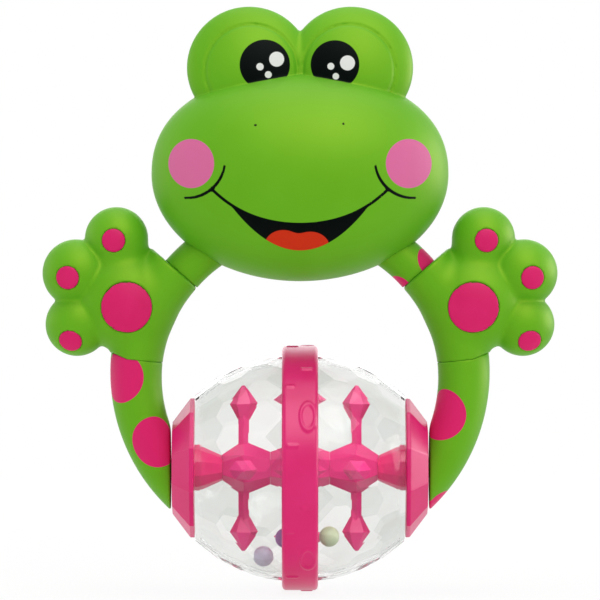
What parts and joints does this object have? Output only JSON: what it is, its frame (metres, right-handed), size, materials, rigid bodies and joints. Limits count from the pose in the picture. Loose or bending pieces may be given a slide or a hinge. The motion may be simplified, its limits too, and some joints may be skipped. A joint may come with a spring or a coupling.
{
  "type": "teething rattle",
  "caption": "Hand-held teething rattle: an animal head on a ring of soft arms with hands, whose ends carry a clear faceted ball that spins, with peg wheels and loose beads inside.",
  "frame": {"origin": "under the ball, at the lowest point of its band, with the rattle upright", "axes": "+Z from the ball up to the head, the face looks along -Y, and X is the axis on which the ball spins"},
  "size_m": [0.1236, 0.059, 0.1402],
  "materials": {
    "green_soft": "satin",
    "green_plastic": "satin",
    "core_plastic": "satin",
    "pink_soft": "satin",
    "pink_plastic": "gloss",
    "clear_plastic": "gloss",
    "purple_bead": "gloss",
    "lilac_bead": "gloss",
    "pink_bead": "gloss",
    "green_bead": "gloss"
  },
  "bodies": {
    "frame": {"ring_core": "core_plastic", "left_upper_arm_sleeve": "green_soft", "left_hand": "green_soft", "left_lower_arm_sleeve": "green_soft", "left_palm_pad": "pink_soft", "left_upper_finger_pad": "pink_soft", "left_middle_finger_pad": "pink_soft", "left_lower_finger_pad": "pink_soft", "right_upper_arm_sleeve": "green_soft", "right_hand": "green_soft", "right_lower_arm_sleeve": "green_soft", "right_palm_pad": "pink_soft", "right_upper_finger_pad": "pink_soft", "right_middle_finger_pad": "pink_soft", "right_lower_finger_pad": "pink_soft", "head_front_shell": "green_plastic", "head_rear_shell": "green_plastic"},
    "ball": {"left_shell": "clear_plastic", "left_cap": "pink_plastic", "left_peg_wheel": "pink_plastic", "right_shell": "clear_plastic", "right_cap": "pink_plastic", "right_peg_wheel": "pink_plastic", "centre_band": "pink_plastic", "spindle": "pink_plastic", "middle_peg_wheel": "pink_plastic"},
    "purple_bead": {"purple_bead": "purple_bead"},
    "lilac_bead": {"lilac_bead": "lilac_bead"},
    "pink_bead": {"pink_bead": "pink_bead"},
    "green_bead": {"green_bead": "green_bead"}
  },
  "joints": [
    {"name": "ball_spin", "type": "hinge", "parent": "frame", "child": "ball", "pos_m": [0, 0, 0.02954], "axis": [1, 0, 0], "continuous": true},
    {"name": "purple_bead_tumble", "type": "hinge", "parent": "ball", "child": "purple_bead", "pos_m": [0, 0, 0.02954], "axis": [1, 0, 0], "continuous": true},
    {"name": "lilac_bead_tumble", "type": "hinge", "parent": "ball", "child": "lilac_bead", "pos_m": [0, 0, 0.02954], "axis": [1, 0, 0], "continuous": true},
    {"name": "pink_bead_tumble", "type": "hinge", "parent": "ball", "child": "pink_bead", "pos_m": [0, 0, 0.02954], "axis": [1, 0, 0], "continuous": true},
    {"name": "green_bead_tumble", "type": "hinge", "parent": "ball", "child": "green_bead", "pos_m": [0, 0, 0.02954], "axis": [1, 0, 0], "continuous": true}
  ]
}
